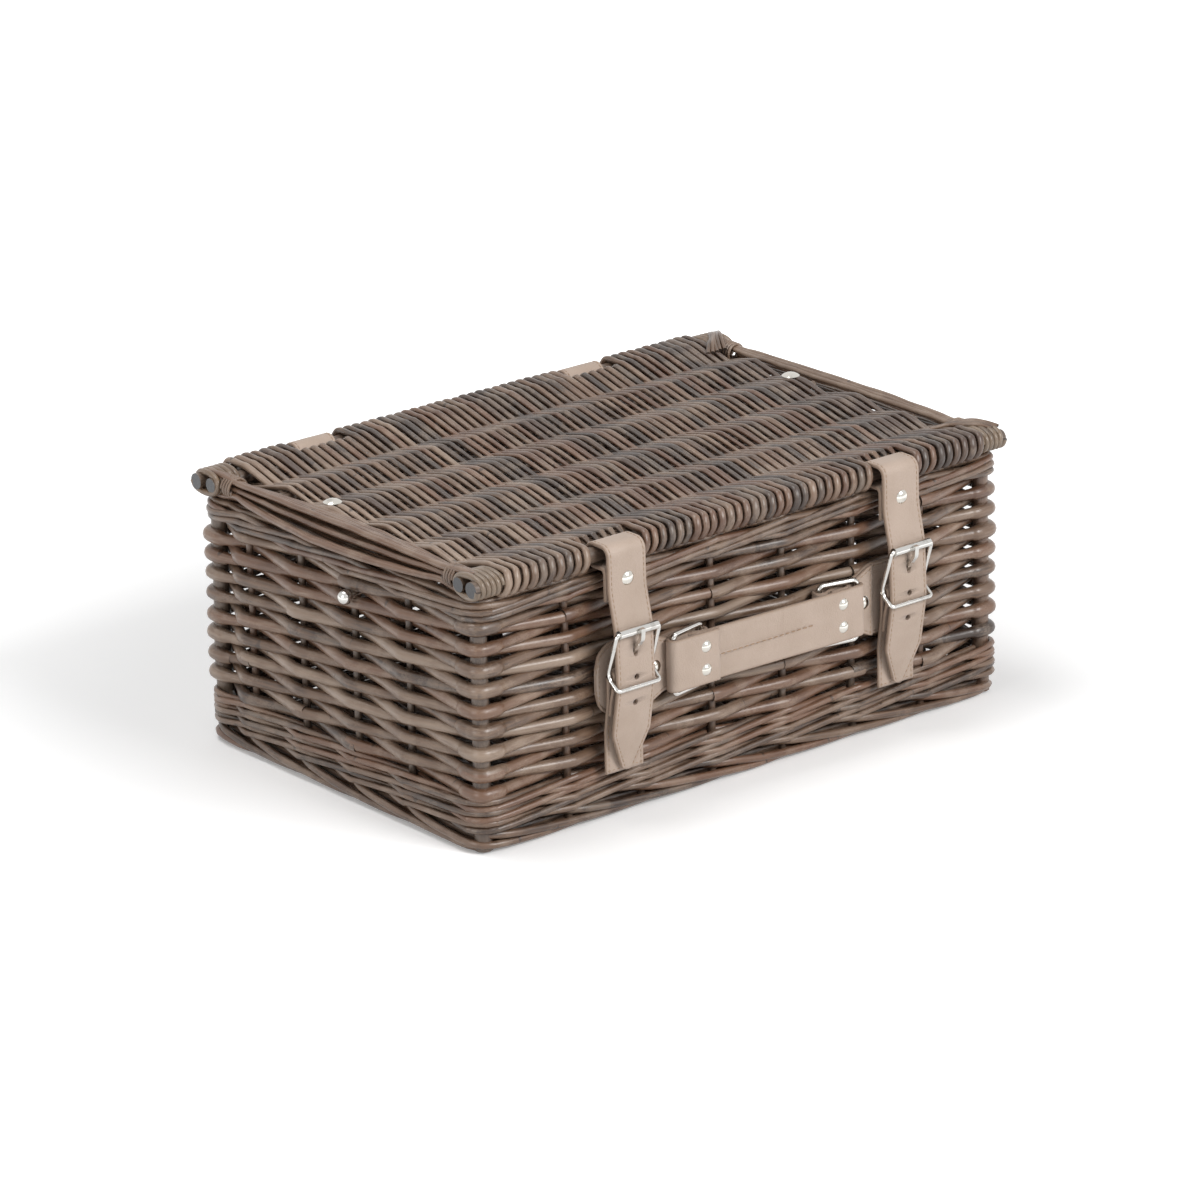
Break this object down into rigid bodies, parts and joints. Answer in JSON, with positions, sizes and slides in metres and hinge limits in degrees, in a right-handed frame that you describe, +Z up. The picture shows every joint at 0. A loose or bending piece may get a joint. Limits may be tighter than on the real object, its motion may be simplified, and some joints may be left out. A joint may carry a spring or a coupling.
{
  "type": "wicker picnic basket",
  "caption": "Rectangular unlined willow picnic basket with a hinged lid, cream leather straps with roller buckles, and a ringed leather handle.",
  "frame": {"origin": "middle of the flat face that the basket stands on, halfway between the outer faces of its walls", "axes": "+X along the length towards the right-hand end seen from the front, -Y towards the front with straps and handle, +Z up"},
  "size_m": [0.3756, 0.2636, 0.1514],
  "materials": {
    "willow_weave": "antique-washed willow rods, satin",
    "willow_stick": "antique-washed willow sticks, satin",
    "cane": "split cane binding, satin",
    "leather": "smooth cream leather with stitched edges",
    "chrome": "polished plated wire",
    "nickel": "polished domed rivets"
  },
  "bodies": {
    "basket": {"corner_posts": "willow_stick", "front_stakes": "willow_stick", "back_stakes": "willow_stick", "left_stakes": "willow_stick", "right_stakes": "willow_stick", "foot_border": "willow_weave", "foot_wale": "willow_weave", "front_weave": "willow_weave", "back_weave": "willow_weave", "left_weave": "willow_weave", "right_weave": "willow_weave", "rim_border": "willow_weave", "base_weave": "willow_weave", "base_sticks": "willow_stick", "hinge_loop_left": "leather", "hinge_loop_right": "leather", "buckle_backing_left": "leather", "buckle_backing_right": "leather", "buckle_backing_rivets": "nickel", "handle_anchor_left": "leather", "handle_anchor_right": "leather", "handle_anchor_rivets": "nickel", "stay_side_studs": "nickel", "lid_stay_left": "leather", "lid_stay_right": "leather"},
    "lid": {"lid_front_bar": "willow_stick", "lid_back_bar": "willow_stick", "lid_sticks": "willow_stick", "lid_weave": "willow_weave", "lid_left_end_rods": "willow_stick", "lid_right_end_rods": "willow_stick", "lid_corner_bindings": "cane", "stay_lid_studs": "nickel"},
    "strap_left": {"strap_left": "leather", "strap_rivet_left": "nickel"},
    "strap_right": {"strap_right": "leather", "strap_rivet_right": "nickel"},
    "buckle_left": {"buckle_frame_left": "chrome"},
    "buckle_right": {"buckle_frame_right": "chrome"},
    "roller_left": {"buckle_roller_left": "chrome"},
    "roller_right": {"buckle_roller_right": "chrome"},
    "prong_left": {"buckle_prong_left": "chrome"},
    "prong_right": {"buckle_prong_right": "chrome"},
    "ring_left": {"ring_left": "chrome"},
    "ring_right": {"ring_right": "chrome"},
    "handle": {"handle_strip": "leather", "handle_rivets": "nickel"}
  },
  "joints": [
    {"name": "lid_hinge", "type": "hinge", "parent": "basket", "child": "lid", "pos_m": [0, 0.1161, 0.1441], "axis": [-1, 0, 0], "range_deg": [0, 95], "deforming": ["strap_left", "strap_right", "lid_stay_left", "lid_stay_right"]},
    {"name": "strap_left_hang", "type": "hinge", "parent": "lid", "child": "strap_left", "pos_m": [-0.0888, -0.1161, 0.1441], "axis": [-1, 0, 0], "range_deg": [-88.4, 0]},
    {"name": "buckle_left_swing", "type": "hinge", "parent": "basket", "child": "buckle_left", "pos_m": [-0.0888, -0.128, 0.082], "axis": [1, 0, 0], "range_deg": [0, 35]},
    {"name": "prong_left_lift", "type": "hinge", "parent": "buckle_left", "child": "prong_left", "pos_m": [-0.0888, -0.128, 0.082], "axis": [1, 0, 0], "range_deg": [0, 80]},
    {"name": "roller_left_spin", "type": "hinge", "parent": "buckle_left", "child": "roller_left", "pos_m": [-0.0888, -0.136, 0.1062], "axis": [1, 0, 0], "continuous": true},
    {"name": "strap_right_hang", "type": "hinge", "parent": "lid", "child": "strap_right", "pos_m": [0.0978, -0.1161, 0.1441], "axis": [-1, 0, 0], "range_deg": [-88.4, 0]},
    {"name": "buckle_right_swing", "type": "hinge", "parent": "basket", "child": "buckle_right", "pos_m": [0.0978, -0.128, 0.082], "axis": [1, 0, 0], "range_deg": [0, 35]},
    {"name": "prong_right_lift", "type": "hinge", "parent": "buckle_right", "child": "prong_right", "pos_m": [0.0978, -0.128, 0.082], "axis": [1, 0, 0], "range_deg": [0, 80]},
    {"name": "roller_right_spin", "type": "hinge", "parent": "buckle_right", "child": "roller_right", "pos_m": [0.0978, -0.136, 0.1062], "axis": [1, 0, 0], "continuous": true},
    {"name": "ring_right_swing", "type": "hinge", "parent": "basket", "child": "ring_right", "pos_m": [0.045, -0.1223, 0.077], "axis": [0, 0, -1], "range_deg": [0, 28]},
    {"name": "ring_left_swing", "type": "hinge", "parent": "basket", "child": "ring_left", "pos_m": [-0.036, -0.1223, 0.077], "axis": [0, 0, 1], "range_deg": [0, 28]},
    {"name": "handle_pivot", "type": "hinge", "parent": "ring_right", "child": "handle", "pos_m": [0.067, -0.1268, 0.077], "axis": [0, 0, -1], "range_deg": [-28, 0]}
  ],
  "couplings": [
    {"joint": "strap_left_hang", "follows": "lid_hinge", "ratio": -0.93},
    {"joint": "strap_right_hang", "follows": "lid_hinge", "ratio": -0.93},
    {"joint": "ring_left_swing", "follows": "ring_right_swing", "ratio": 1},
    {"joint": "handle_pivot", "follows": "ring_right_swing", "ratio": -1}
  ]
}
